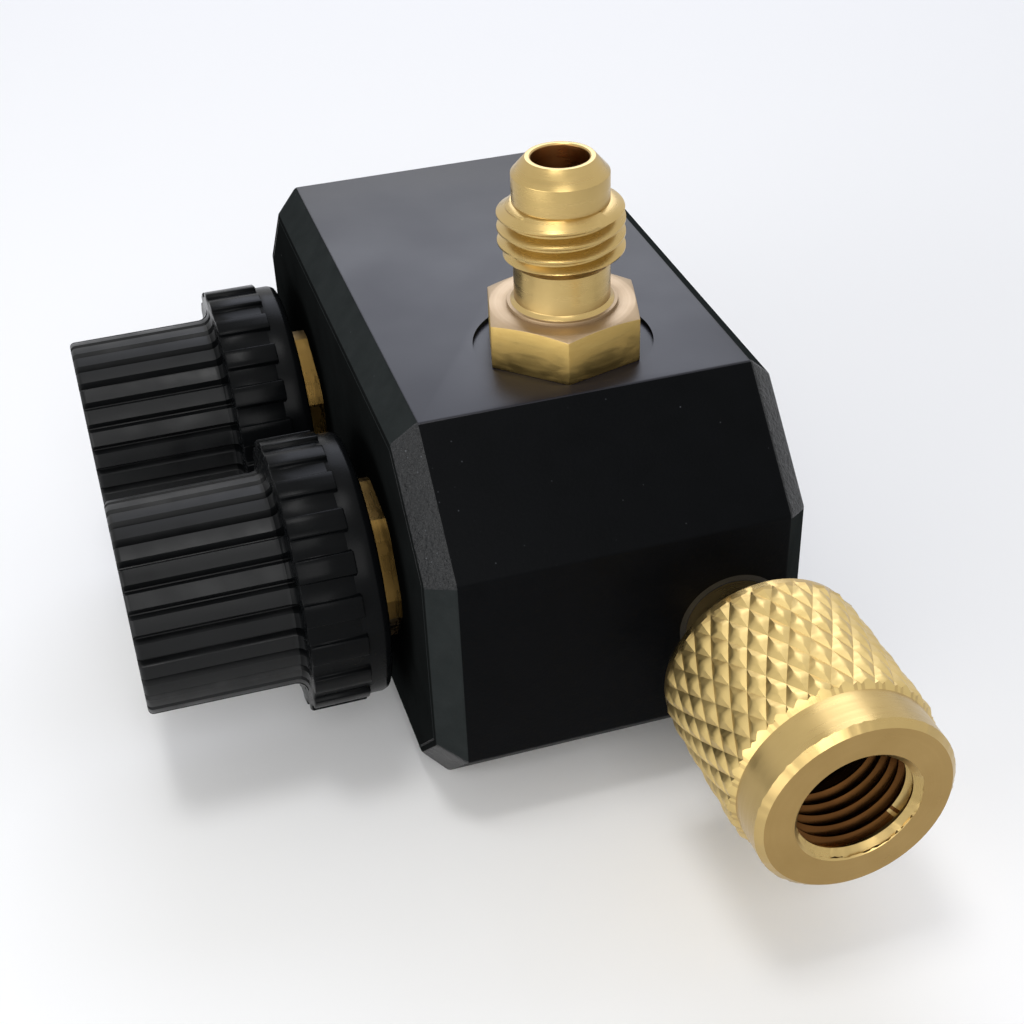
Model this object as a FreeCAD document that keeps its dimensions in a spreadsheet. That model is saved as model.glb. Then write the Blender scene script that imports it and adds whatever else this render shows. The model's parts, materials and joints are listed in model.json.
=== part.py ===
import FreeCAD, Part
import operator
import os
import Sketcher

# Two-knob vacuum isolation valve with a swivel coupling and two flare ports.
# Millimetres. Origin at the centre of the block's underside, +Z up.
# Both knobs face -X, the swivel coupling faces -Y, the flare ports face +Z and +Y.

Vector = FreeCAD.Vector
Rotation = FreeCAD.Rotation

doc = FreeCAD.newDocument("isolation_valve")
sheet = doc.addObject("Spreadsheet::Sheet", "sizes")
parts = []


class Size:
    # A length that carries its expression on the sheet and its present value.
    def __init__(self, text, value):
        self.text = text
        self.value = value

    def __add__(self, other):
        return combine(self, "+", other)

    def __radd__(self, other):
        return combine(other, "+", self)

    def __sub__(self, other):
        return combine(self, "-", other)

    def __rsub__(self, other):
        return combine(other, "-", self)

    def __mul__(self, other):
        return combine(self, "*", other)

    def __rmul__(self, other):
        return combine(other, "*", self)

    def __truediv__(self, other):
        return combine(self, "/", other)

    def __pow__(self, other):
        return combine(self, "^", other)

    def __neg__(self):
        return combine(0, "-", self)


signs = {
    "+": operator.add, "-": operator.sub, "*": operator.mul,
    "/": operator.truediv, "^": operator.pow,
}


def as_size(number):
    return number if isinstance(number, Size) else Size(repr(float(number)), float(number))


def combine(left, sign, right):
    left = as_size(left)
    right = as_size(right)
    text = "(%s %s %s)" % (left.text, sign, right.text)
    return Size(text, signs[sign](left.value, right.value))


def cell(alias, value):
    # Writes one driving dimension to the next row of the sheet.
    cell.row += 1
    sheet.set("A%d" % cell.row, alias)
    sheet.set("B%d" % cell.row, str(value))
    sheet.setAlias("B%d" % cell.row, alias)
    return Size("sizes." + alias, float(value))


cell.row = 0

# Block
block_width = cell("block_width", 34.8)
block_length = cell("block_length", 70.6)
block_height = cell("block_height", 37.7)
top_bevel = cell("top_bevel", 10.0)
foot_bevel = cell("foot_bevel", 8.0)
face_chamfer = cell("face_chamfer", 2.3)

# Where the two valves and the lines between the ports lie
valve_middle = cell("valve_middle", -0.4)
valve_spacing = cell("valve_spacing", 31.0)
valve_height = cell("valve_height", 18.2)
chamber_port_x = cell("chamber_port_x", 0.9)
line_x = cell("line_x", 9.9)
line_height = cell("line_height", 17.6)
line_radius = cell("line_radius", 2.4)
passage_radius = cell("passage_radius", 2.5)

# Clearances
thread_gap = cell("thread_gap", 0.05)
running_gap = cell("running_gap", 0.05)
seat_gap = cell("seat_gap", 0.05)
swivel_play = cell("swivel_play", 0.1)
ring_gap = cell("ring_gap", 0.03)

# Square sealing rings under the hexagons
seal_section = cell("seal_section", 1.5)

# Ports in the block and the shanks that screw into them
port_bore = cell("port_bore", 4.95)
port_depth = cell("port_depth", 9.4)
port_neck = cell("port_neck", 4.5)
shank_length = cell("shank_length", 8.8)
spotface_radius = cell("spotface_radius", 8.1)
spotface_depth = cell("spotface_depth", 0.4)

# Valve chamber and seat
bonnet_bore = cell("bonnet_bore", 6.0)
bonnet_bore_depth = cell("bonnet_bore_depth", 11.0)
chamber_radius = cell("chamber_radius", 4.7)
seat_depth = cell("seat_depth", 22.6)
seat_lip_height = cell("seat_lip_height", 0.7)
seat_lip_land = cell("seat_lip_land", 0.35)
seat_bore = cell("seat_bore", 2.1)
line_overrun = cell("line_overrun", 3.4)

# Bonnet
bonnet_flats = cell("bonnet_flats", 14.0)
bonnet_corner = cell("bonnet_corner", 7.55)
front_hex_turn = cell("front_hex_turn", 24.0)
rear_hex_turn = cell("rear_hex_turn", 2.0)
bonnet_hex_height = cell("bonnet_hex_height", 3.4)
bonnet_shank = cell("bonnet_shank", 10.4)
bonnet_neck = cell("bonnet_neck", 5.4)
bonnet_tower_radius = cell("bonnet_tower_radius", 5.6)
bonnet_tower_top = cell("bonnet_tower_top", 7.4)
gland_depth = cell("gland_depth", 2.5)
hex_chamfer_start = cell("hex_chamfer_start", 0.96)

# Stem
stem_shaft = cell("stem_shaft", 3.0)
stem_thread = cell("stem_thread", 3.6)
stem_body = cell("stem_body", 3.3)
stem_thread_low = cell("stem_thread_low", -14.0)
travel = cell("travel", 3.0)
stop_gap = cell("stop_gap", 0.3)
stem_seal_groove = cell("stem_seal_groove", 2.0)
stem_seal_width = cell("stem_seal_width", 1.1)
stem_seal_low = cell("stem_seal_low", 0.2)
stem_seal_pitch = cell("stem_seal_pitch", 2.8)
stem_neck = cell("stem_neck", 1.2)
stem_button = cell("stem_button", 1.8)
stem_button_height = cell("stem_button_height", 1.2)

# Seat disc and its holder
disc_radius = cell("disc_radius", 2.9)
disc_height = cell("disc_height", 1.5)
disc_proud = cell("disc_proud", 0.4)
holder_radius = cell("holder_radius", 3.6)
holder_floor = cell("holder_floor", 1.2)
holder_lip = cell("holder_lip", 1.0)

# Knob
knob_end = cell("knob_end", 23.9)
knob_end_radius = cell("knob_end_radius", 9.9)
knob_waist_radius = cell("knob_waist_radius", 10.0)
knob_waist_bevel = cell("knob_waist_bevel", 0.8)
knob_edge_bevel = cell("knob_edge_bevel", 0.4)
flange_bevel = cell("flange_bevel", 0.5)
collar_radius = cell("collar_radius", 12.8)
collar_high = cell("collar_high", 9.5)
collar_low = cell("collar_low", 4.3)
flange_radius = cell("flange_radius", 12.35)
flange_low = cell("flange_low", 2.0)
knob_cavity = cell("knob_cavity", 8.9)
web_low = cell("web_low", 8.2)
web_high = cell("web_high", 16.0)
rib_count = cell("rib_count", 28)
rib_groove_depth = cell("rib_groove_depth", 0.6)
rib_groove_width = cell("rib_groove_width", 0.9)
tooth_count = cell("tooth_count", 20)
tooth_gap = cell("tooth_gap", 2.0)

# Knob fixing
bush_radius = cell("bush_radius", 4.8)
drive_clearance = cell("drive_clearance", 0.2)
screw_radius = cell("screw_radius", 1.45)
screw_length = cell("screw_length", 8.0)
screw_head_radius = cell("screw_head_radius", 2.75)
screw_head_height = cell("screw_head_height", 1.8)
screw_socket = cell("screw_socket", 1.45)
screw_socket_depth = cell("screw_socket_depth", 1.1)
washer_radius = cell("washer_radius", 4.2)
washer_height = cell("washer_height", 0.6)
washer_hole = cell("washer_hole", 1.7)
well_radius = cell("well_radius", 5.5)
cap_radius = cell("cap_radius", 6.3)
cap_height = cell("cap_height", 1.5)
cap_recess = cell("cap_recess", 0.4)

# Flare fittings
flare_flats = cell("flare_flats", 13.0)
flare_hex_height = cell("flare_hex_height", 4.3)
flare_hex_angle = cell("flare_hex_angle", 15.5)
flare_neck = cell("flare_neck", 4.25)
flare_foot_ring = cell("flare_foot_ring", 4.9)
flare_foot_height = cell("flare_foot_height", 0.3)
flare_thread = cell("flare_thread", 5.55)
flare_thread_low = cell("flare_thread_low", 8.9)
flare_thread_high = cell("flare_thread_high", 12.8)
flare_nose = cell("flare_nose", 4.23)
flare_cone_low = cell("flare_cone_low", 15.9)
flare_tip = cell("flare_tip", 17.3)
flare_tip_radius = cell("flare_tip_radius", 3.0)
thread_lead = cell("thread_lead", 0.6)

# Swivel coupling
tail_neck = cell("tail_neck", 4.0)
tail_collar = cell("tail_collar", 5.8)
tail_collar_height = cell("tail_collar_height", 1.5)
tail_collar_bevel = cell("tail_collar_bevel", 0.5)
tail_key = cell("tail_key", 5.0)
tail_key_depth = cell("tail_key_depth", 6.0)
tail_journal = cell("tail_journal", 4.72)
tail_front = cell("tail_front", 14.0)
tail_counterbore = cell("tail_counterbore", 2.9)
clip_place = cell("clip_place", 11.0)
clip_wire = cell("clip_wire", 1.1)
gasket_radius = cell("gasket_radius", 4.5)
gasket_hole = cell("gasket_hole", 2.3)
gasket_height = cell("gasket_height", 1.2)
depressor_disc = cell("depressor_disc", 0.9)
depressor_pin = cell("depressor_pin", 0.8)
depressor_reach = cell("depressor_reach", 1.6)
depressor_hole = cell("depressor_hole", 0.55)
depressor_hole_place = cell("depressor_hole_place", 1.8)
depressor_hole_count = cell("depressor_hole_count", 3)
nut_rear = cell("nut_rear", 6.0)
nut_rear_radius = cell("nut_rear_radius", 8.6)
knurl_low = cell("knurl_low", 7.5)
knurl_high = cell("knurl_high", 20.2)
knurl_radius = cell("knurl_radius", 9.25)
band_radius = cell("band_radius", 8.65)
band_slope = cell("band_slope", 0.8)
nut_mouth = cell("nut_mouth", 25.1)
mouth_radius = cell("mouth_radius", 8.1)
mouth_chamfer = cell("mouth_chamfer", 0.55)
nut_thread_bore = cell("nut_thread_bore", 4.95)
nut_thread_low = cell("nut_thread_low", 17.8)
nut_relief = cell("nut_relief", 5.8)
nut_relief_low = cell("nut_relief_low", 13.2)
countersink = cell("countersink", 0.55)

doc.recompute()

# Places that follow from the sizes
front_valve_y = valve_middle - valve_spacing / 2
rear_valve_y = valve_middle + valve_spacing / 2
seal_pocket_depth = seal_section + ring_gap
port_thread = port_bore - thread_gap
stem_bore = stem_shaft + running_gap
stem_thread_bore = stem_thread + running_gap
stem_thread_high = -gland_depth - travel - stop_gap
disc_face = seat_gap - seat_depth
holder_seat = disc_face + disc_height
holder_rim = disc_face + disc_proud
button_low = holder_seat + holder_floor + swivel_play
button_high = button_low + stem_button_height
lip_low = button_high + swivel_play
lip_high = lip_low + holder_lip
shoulder = lip_high + swivel_play
drive_top = web_high - drive_clearance
head_seat = web_high + washer_height
cap_top = knob_end - cap_recess
cap_seat = cap_top - cap_height
clip_low = clip_place - clip_wire / 2
clip_high = clip_place + clip_wire / 2
nut_bore = tail_journal + running_gap
clip_inner = (tail_journal + nut_bore - clip_wire) / 2
clip_outer = clip_inner + clip_wire

# A cut starts this far outside the face that it enters
entry = 1.0

# Turns that point a piece's own +Z, or a cavity's axis, the way it faces
facing = {
    "-X": Rotation(Vector(0, 1, 0), -90),
    "-Y": Rotation(Vector(1, 0, 0), 90),
    "+Y": Rotation(Vector(1, 0, 0), -90),
    "+Z": Rotation(),
}
# Stands a sketch up, so that its Y runs along the axis
upright = Rotation(Vector(1, 0, 0), 90)


def bind(item, path, size):
    item.setExpression(path, as_size(size).text)


def bind_place(item, path, place):
    for letter, size in zip("xyz", place):
        bind(item, "%s.Base.%s" % (path, letter), size)


def new_body(name):
    body = doc.addObject("PartDesign::Body", name)
    body.Label = name
    parts.append(body)
    return body


def seat_body(body, place, direction, spin=0):
    body.Placement = FreeCAD.Placement(Vector(), facing[direction] * Rotation(Vector(0, 0, 1), spin))
    bind_place(body, "Placement", place)
    return body


def new_sketch(body, name, turn=Rotation(), place=(0, 0, 0)):
    sketch = body.newObject("Sketcher::SketchObject", name)
    plane = [item for item in body.Origin.OriginFeatures if item.Role == "XY_Plane"][0]
    sketch.AttachmentSupport = [(plane, "")]
    sketch.MapMode = "FlatFace"
    sketch.AttachmentOffset = FreeCAD.Placement(Vector(), turn)
    bind_place(sketch, "AttachmentOffset", place)
    return sketch


def hold(sketch, kind, axis, geometry, end, size):
    # Fixes one coordinate of a corner, on the axis itself where it is zero.
    if size.text == "0.0":
        sketch.addConstraint(Sketcher.Constraint("PointOnObject", geometry, end, axis))
        return
    index = sketch.addConstraint(Sketcher.Constraint(kind, -1, 1, geometry, end, size.value))
    sketch.setExpression("Constraints[%d]" % index, size.text)


def draw(sketch, corners):
    # A closed outline. A corner's third entry is the radius of the arc that ends there,
    # positive where the arc turns left on its way.
    points = [(as_size(corner[0]), as_size(corner[1])) for corner in corners]
    starts = []
    for index, (end, corner) in enumerate(zip(points, corners)):
        start = points[index - 1]
        first = Vector(start[0].value, start[1].value, 0)
        last = Vector(end[0].value, end[1].value, 0)
        if len(corner) == 3:
            starts.append(add_arc(sketch, first, last, as_size(corner[2])))
        else:
            starts.append((sketch.addGeometry(Part.LineSegment(first, last)), 1, 2))
    for index, (geometry, head, tail) in enumerate(starts):
        following = starts[(index + 1) % len(starts)]
        sketch.addConstraint(Sketcher.Constraint("Coincident", geometry, tail, following[0], following[1]))
        hold(sketch, "DistanceX", -2, geometry, tail, points[index][0])
        hold(sketch, "DistanceY", -1, geometry, tail, points[index][1])


def add_arc(sketch, first, last, radius):
    chord = last - first
    half = chord.Length / 2
    rise = (radius.value ** 2 - half ** 2) ** 0.5
    left = Vector(-chord.y, chord.x, 0).normalize()
    turns_left = radius.value > 0
    centre = (first + last) / 2 + left * (rise if turns_left else -rise)
    ends = (first, last) if turns_left else (last, first)
    angles = [(point - centre).getAngle(Vector(1, 0, 0)) for point in ends]
    angles = [angle if point.y >= centre.y else -angle for angle, point in zip(angles, ends)]
    circle = Part.Circle(centre, Vector(0, 0, 1), abs(radius.value))
    geometry = sketch.addGeometry(Part.ArcOfCircle(circle, angles[0], angles[1]))
    index = sketch.addConstraint(Sketcher.Constraint("Radius", geometry, abs(radius.value)))
    sketch.setExpression("Constraints[%d]" % index, radius.text if turns_left else "-" + radius.text)
    return (geometry, 1, 2) if turns_left else (geometry, 2, 1)


def turn_shape(body, kind, name, corners, direction="+Z", place=(0, 0, 0)):
    # Revolves an outline of (radius, along) corners, to add it or to cut it.
    sketch = new_sketch(body, name + "_outline", facing[direction] * upright, place)
    draw(sketch, corners)
    feature = body.newObject("PartDesign::" + kind, name)
    feature.Profile = sketch
    feature.ReferenceAxis = (sketch, ["V_Axis"])
    feature.Angle = 360
    return feature


def prism(body, kind, name, sides, corner_radius, low, height):
    feature = body.newObject("PartDesign::%sPrism" % kind, name)
    plane = [item for item in body.Origin.OriginFeatures if item.Role == "XY_Plane"][0]
    feature.AttachmentSupport = [(plane, "")]
    feature.MapMode = "FlatFace"
    feature.Polygon = sides
    bind(feature, "Circumradius", corner_radius)
    bind(feature, "Height", height)
    bind(feature, "AttachmentOffset.Base.z", low)
    return feature


def corner_of(flats):
    return flats / 3 ** 0.5


def hexagon(body, flats, low, height, corner=None):
    # A hexagon with its outer end turned off at 30 degrees.
    # Where a corner radius is given, the corners are turned down to it.
    prism(body, "Additive", body.Label + "_hexagon", 6, corner_of(flats), low, height)
    inner = flats / 2 * hex_chamfer_start
    outer = corner_of(flats) + entry
    high = low + height
    if corner is None:
        return [(inner, high), (outer, high), (outer, high - (outer - inner) / 3 ** 0.5)]
    return [(inner, high), (outer, high), (outer, low - entry), (corner, low - entry),
            (corner, high - (corner - inner) / 3 ** 0.5)]


def pocket_ring(body, name, sketch, depth, count):
    # Cuts a sketch down along -Z and repeats the cut round the axis.
    pocket = body.newObject("PartDesign::Pocket", name)
    pocket.Profile = sketch
    bind(pocket, "Length", depth)
    pattern = body.newObject("PartDesign::PolarPattern", name + "_ring")
    pattern.Originals = [pocket]
    pattern.Axis = (sketch, ["N_Axis"])
    pattern.Angle = 360
    bind(pattern, "Occurrences", count)
    body.Tip = pattern
    return pattern


def port_cavity(neck_radius, bore, bore_depth, spot_depth):
    # The corners that every threaded port shares, from its spotface to the foot of its thread.
    seal_radius = neck_radius + seal_section + 2 * ring_gap
    corners = [(0, entry)]
    if spot_depth is not None:
        corners += [(spotface_radius, entry), (spotface_radius, -spot_depth)]
        corners += [(seal_radius, -spot_depth), (seal_radius, -spot_depth - seal_pocket_depth)]
        corners += [(bore, -spot_depth - seal_pocket_depth)]
    else:
        corners += [(seal_radius, entry), (seal_radius, -seal_pocket_depth), (bore, -seal_pocket_depth)]
    return corners + [(bore, -bore_depth)]


def valve_block():
    body = new_body("valve_block")
    sketch = new_sketch(body, "side_outline", Rotation(Vector(1, 1, 1), 120))
    half = block_length / 2
    draw(sketch, [
        (foot_bevel - half, 0), (half - foot_bevel, 0),
        (half, foot_bevel), (half, block_height - top_bevel),
        (half - top_bevel, block_height), (top_bevel - half, block_height),
        (-half, block_height - top_bevel), (-half, foot_bevel),
    ])
    pad = body.newObject("PartDesign::Pad", "bar")
    pad.Profile = sketch
    pad.SideType = "Symmetric"
    bind(pad, "Length", block_width)
    doc.recompute()

    chamfer = body.newObject("PartDesign::Chamfer", "face_edges")
    sides = []
    for index, face in enumerate(pad.Shape.Faces, 1):
        if abs(face.normalAt(0, 0).x) > 0.99:
            sides.append("Face%d" % index)
    chamfer.Base = (pad, sides)
    bind(chamfer, "Size", face_chamfer)
    doc.recompute()

    face_x = -block_width / 2
    for name, y in (("front", front_valve_y), ("rear", rear_valve_y)):
        corners = port_cavity(bonnet_neck, bonnet_bore, bonnet_bore_depth, None)
        corners += [
            (chamber_radius, -bonnet_bore_depth),
            (chamber_radius, -seat_depth - seat_lip_height),
            (seat_bore + seat_lip_land + seat_lip_height, -seat_depth - seat_lip_height),
            (seat_bore + seat_lip_land, -seat_depth),
            (seat_bore, -seat_depth),
            (seat_bore, face_x - line_x),
            (0, face_x - line_x),
        ]
        turn_shape(body, "Groove", name + "_chamber", corners, "-X", (face_x, y, valve_height))

    line_length = half + rear_valve_y + line_overrun
    corners = port_cavity(tail_neck, port_bore, port_depth, None)
    corners += [(line_radius, -port_depth), (line_radius, -line_length), (0, -line_length)]
    turn_shape(body, "Groove", "common_line", corners, "-Y", (line_x, -half, line_height))

    for name, direction, place, depth in (
        ("top", "+Z", (chamber_port_x, front_valve_y, block_height), block_height - valve_height),
        ("rear", "+Y", (chamber_port_x, half, valve_height), half - rear_valve_y),
    ):
        corners = port_cavity(port_neck, port_bore, port_depth, spotface_depth)
        corners += [(passage_radius, -port_depth), (passage_radius, -depth), (0, -depth)]
        turn_shape(body, "Groove", name + "_port", corners, direction, place)
    return body


def square_ring(name, place, direction, radii, ends):
    body = new_body(name)
    inner, outer = radii
    low, high = ends
    turn_shape(body, "Revolution", name + "_turned", [
        (inner, low), (outer, low), (outer, high), (inner, high),
    ])
    return seat_body(body, place, direction)


def hexagon_seal(name, place, direction, neck_radius, floor):
    # Lies round the neck under a hexagon or collar, on the floor of its pocket.
    inner = neck_radius + ring_gap
    return square_ring(name, place, direction, (inner, inner + seal_section), (floor, floor + seal_section))


def flare_fitting(name, place, direction, spin):
    body = new_body(name)
    low = -spotface_depth
    neck_end = low - seal_pocket_depth
    corner_cut = hexagon(body, flare_flats, low, flare_hex_height)
    hex_top = low + flare_hex_height
    turn_shape(body, "Revolution", name + "_turned", [
        (0, low - shank_length), (port_thread - thread_lead, low - shank_length),
        (port_thread, low - shank_length + thread_lead), (port_thread, neck_end),
        (port_neck, neck_end), (port_neck, low + entry),
        (flare_foot_ring, low + entry), (flare_foot_ring, hex_top + flare_foot_height),
        (flare_neck, hex_top + flare_foot_height), (flare_neck, flare_thread_low - thread_lead),
        (flare_thread, flare_thread_low), (flare_thread, flare_thread_high - thread_lead),
        (flare_thread - thread_lead, flare_thread_high), (flare_nose, flare_thread_high),
        (flare_nose, flare_cone_low), (flare_tip_radius, flare_tip), (0, flare_tip),
    ])
    turn_shape(body, "Groove", name + "_corners", corner_cut)
    turn_shape(body, "Groove", name + "_bore", [
        (0, low - shank_length - entry), (passage_radius, low - shank_length - entry),
        (passage_radius, flare_tip + entry), (0, flare_tip + entry),
    ])
    return seat_body(body, place, direction, spin)


def coupling_tail(place):
    body = new_body("coupling_tail")
    groove = clip_inner - ring_gap
    turn_shape(body, "Revolution", "tail_turned", [
        (0, -shank_length), (port_thread - thread_lead, -shank_length),
        (port_thread, thread_lead - shank_length), (port_thread, -seal_pocket_depth),
        (tail_neck, -seal_pocket_depth), (tail_neck, 0),
        (tail_collar, 0), (tail_collar, tail_collar_height - tail_collar_bevel),
        (tail_collar - tail_collar_bevel, tail_collar_height), (tail_journal, tail_collar_height),
        (tail_journal, clip_low - ring_gap), (groove, clip_low - ring_gap),
        (groove, clip_high + ring_gap), (tail_journal, clip_high + ring_gap),
        (tail_journal, tail_front), (0, tail_front),
    ])
    seat = tail_front - depressor_disc - ring_gap
    turn_shape(body, "Groove", "tail_bore", [
        (0, -shank_length - entry), (line_radius, -shank_length - entry),
        (line_radius, seat), (tail_counterbore, seat),
        (tail_counterbore, tail_front + entry), (0, tail_front + entry),
    ])
    # A hexagon key goes in through the open front to screw the tail home.
    key_foot = seat - tail_key_depth
    prism(body, "Subtractive", "tail_key_socket", 6, corner_of(tail_key), key_foot, tail_key_depth)
    return seat_body(body, place, "-Y")


def coupling_gasket(place):
    body = new_body("coupling_gasket")
    high = tail_front + gasket_height
    turn_shape(body, "Revolution", "gasket_turned", [
        (gasket_hole, tail_front), (gasket_radius, tail_front),
        (gasket_radius, high), (gasket_hole, high),
    ])
    return seat_body(body, place, "-Y")


def core_depressor(place):
    body = new_body("core_depressor")
    low = tail_front - depressor_disc - ring_gap
    high = tail_front - ring_gap
    tip = tail_front + gasket_height + depressor_reach
    edge = tail_counterbore - ring_gap
    turn_shape(body, "Revolution", "depressor_turned", [
        (0, low), (edge, low), (edge, high), (depressor_pin, high),
        (depressor_pin, tip), (0, tip),
    ])
    sketch = new_sketch(body, "depressor_hole_sketch", place=(0, 0, high))
    draw_circle(sketch, depressor_hole_place, depressor_hole)
    pocket_ring(body, "depressor_holes", sketch, depressor_disc, depressor_hole_count)
    return seat_body(body, place, "-Y")


def draw_circle(sketch, centre_x, radius):
    centre = Vector(centre_x.value, 0, 0)
    geometry = sketch.addGeometry(Part.Circle(centre, Vector(0, 0, 1), radius.value))
    index = sketch.addConstraint(Sketcher.Constraint("Radius", geometry, radius.value))
    sketch.setExpression("Constraints[%d]" % index, radius.text)
    hold(sketch, "DistanceX", -2, geometry, 3, centre_x)
    hold(sketch, "DistanceY", -1, geometry, 3, as_size(0))


def coupling_nut(place):
    body = new_body("coupling_nut")
    shoulder_round = knurl_radius - nut_rear_radius + (knurl_low - nut_rear) / 2
    turn_shape(body, "Revolution", "nut_turned", [
        (0, nut_rear), (nut_rear_radius, nut_rear), (knurl_radius, knurl_low, shoulder_round),
        (knurl_radius, knurl_high), (band_radius, knurl_high + band_slope),
        (band_radius, nut_mouth - mouth_chamfer), (mouth_radius, nut_mouth), (0, nut_mouth),
    ])
    clip_room = clip_outer + swivel_play
    turn_shape(body, "Groove", "nut_bore", [
        (0, nut_rear - entry), (nut_bore, nut_rear - entry),
        (nut_bore, clip_low - swivel_play), (clip_room, clip_low - swivel_play),
        (clip_room, clip_high + swivel_play), (nut_bore, clip_high + swivel_play),
        (nut_bore, nut_relief_low), (nut_relief, nut_relief_low),
        (nut_relief, nut_thread_low), (nut_thread_bore, nut_thread_low),
        (nut_thread_bore, nut_mouth - countersink), (nut_thread_bore + countersink, nut_mouth),
        (nut_thread_bore + countersink, nut_mouth + entry), (0, nut_mouth + entry),
    ])
    return seat_body(body, place, "-Y")


def bonnet(name, place, turn):
    body = new_body(name)
    corner_cut = hexagon(body, bonnet_flats, as_size(0), bonnet_hex_height, bonnet_corner)
    thread = bonnet_bore - thread_gap
    turn_shape(body, "Revolution", name + "_turned", [
        (0, -bonnet_shank), (thread - thread_lead, -bonnet_shank), (thread, thread_lead - bonnet_shank),
        (thread, -seal_pocket_depth), (bonnet_neck, -seal_pocket_depth), (bonnet_neck, entry),
        (bonnet_tower_radius, entry), (bonnet_tower_radius, bonnet_tower_top - thread_lead),
        (bonnet_tower_radius - thread_lead, bonnet_tower_top), (0, bonnet_tower_top),
    ])
    turn_shape(body, "Groove", name + "_corners", corner_cut)
    turn_shape(body, "Groove", name + "_bore", [
        (0, -bonnet_shank - entry), (stem_thread_bore, -bonnet_shank - entry),
        (stem_thread_bore, -gland_depth), (stem_bore, -gland_depth),
        (stem_bore, bonnet_tower_top + entry), (0, bonnet_tower_top + entry),
    ])
    return seat_body(body, place, "-X", turn.value)


def stem(name, place):
    body = new_body(name)
    corners = [
        (0, button_low), (stem_button, button_low), (stem_button, button_high),
        (stem_neck, button_high), (stem_neck, shoulder), (stem_body, shoulder),
        (stem_body, stem_thread_low - thread_lead / 2), (stem_thread, stem_thread_low),
        (stem_thread, stem_thread_high), (stem_shaft, stem_thread_high),
    ]
    for step in (0, 1):
        low = stem_seal_low + step * stem_seal_pitch
        high = low + stem_seal_width
        corners += [(stem_shaft, low), (stem_seal_groove, low), (stem_seal_groove, high), (stem_shaft, high)]
    corners += [(stem_shaft, web_low), (0, web_low)]
    turn_shape(body, "Revolution", name + "_turned", corners)
    prism(body, "Additive", name + "_square", 4, stem_shaft, web_low - entry, drive_top - web_low + entry)
    tip = head_seat - screw_length - entry
    turn_shape(body, "Groove", name + "_screw_hole", [
        (0, tip), (screw_radius + thread_gap, tip),
        (screw_radius + thread_gap, drive_top + entry), (0, drive_top + entry),
    ])
    return seat_body(body, place, "-X")


def seat_holder(name, place):
    body = new_body(name)
    turn_shape(body, "Revolution", name + "_turned", [
        (0, holder_seat), (disc_radius + ring_gap, holder_seat), (disc_radius + ring_gap, holder_rim),
        (holder_radius, holder_rim), (holder_radius, lip_high),
        (stem_neck + swivel_play, lip_high), (stem_neck + swivel_play, lip_low),
        (stem_button + swivel_play, lip_low), (stem_button + swivel_play, holder_seat + holder_floor),
        (0, holder_seat + holder_floor),
    ])
    return seat_body(body, place, "-X")


def seat_disc(name, place):
    body = new_body(name)
    turn_shape(body, "Revolution", name + "_turned", [
        (0, disc_face), (disc_radius, disc_face), (disc_radius, holder_seat), (0, holder_seat),
    ])
    return seat_body(body, place, "-X")


def knob(name, place):
    body = new_body(name)
    hub = bush_radius + ring_gap
    rim = cap_radius + ring_gap
    bevel = knob_edge_bevel
    waist = knob_waist_bevel
    turn_shape(body, "Revolution", name + "_turned", [
        (hub, web_low), (knob_cavity, web_low), (knob_cavity, flange_low),
        (flange_radius - flange_bevel, flange_low), (flange_radius, flange_low + flange_bevel),
        (flange_radius, collar_low), (collar_radius, collar_low), (collar_radius, collar_high - bevel),
        (collar_radius - bevel, collar_high), (knob_waist_radius + waist, collar_high),
        (knob_waist_radius, collar_high + waist), (knob_end_radius, knob_end - bevel),
        (knob_end_radius - bevel, knob_end), (rim, knob_end), (rim, cap_seat),
        (well_radius, cap_seat), (well_radius, web_high), (hub, web_high),
    ])
    ribs = new_sketch(body, name + "_rib_groove", half_step(rib_count), (0, 0, knob_end))
    flank = rib_groove_width / 2
    outer = knob_waist_radius + waist + entry
    draw(ribs, [
        (knob_end_radius - rib_groove_depth, 0), (knob_waist_radius, -flank), (outer, -flank),
        (outer, flank), (knob_waist_radius, flank),
    ])
    pocket_ring(body, name + "_rib_grooves", ribs, knob_end - collar_high - waist, rib_count)

    # The gaps between the collar's teeth go down to the flange's own radius.
    gaps = new_sketch(body, name + "_tooth_gap", half_step(tooth_count), (0, 0, collar_high))
    side = (flange_radius ** 2 - (tooth_gap / 2) ** 2) ** 0.5
    draw(gaps, [
        (side, tooth_gap / 2, flange_radius), (collar_radius + entry, tooth_gap / 2),
        (collar_radius + entry, -tooth_gap / 2), (side, -tooth_gap / 2),
    ])
    pocket_ring(body, name + "_tooth_gaps", gaps, collar_high - collar_low, tooth_count)
    return seat_body(body, place, "-X")


def half_step(count):
    # Turns a pattern by half its step, so that a rib and a tooth lie at the top.
    return Rotation(Vector(0, 0, 1), 180 / count.value)


def knob_bush(name, place):
    body = new_body(name)
    turn_shape(body, "Revolution", name + "_turned", [
        (0, web_low), (bush_radius, web_low), (bush_radius, web_high), (0, web_high),
    ])
    corner = stem_shaft + running_gap
    prism(body, "Subtractive", name + "_square", 4, corner, web_low - entry, web_high - web_low + 2 * entry)
    return seat_body(body, place, "-X")


def knob_washer(name, place):
    body = new_body(name)
    turn_shape(body, "Revolution", name + "_turned", [
        (washer_hole, web_high), (washer_radius, web_high),
        (washer_radius, head_seat), (washer_hole, head_seat),
    ])
    return seat_body(body, place, "-X")


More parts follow.
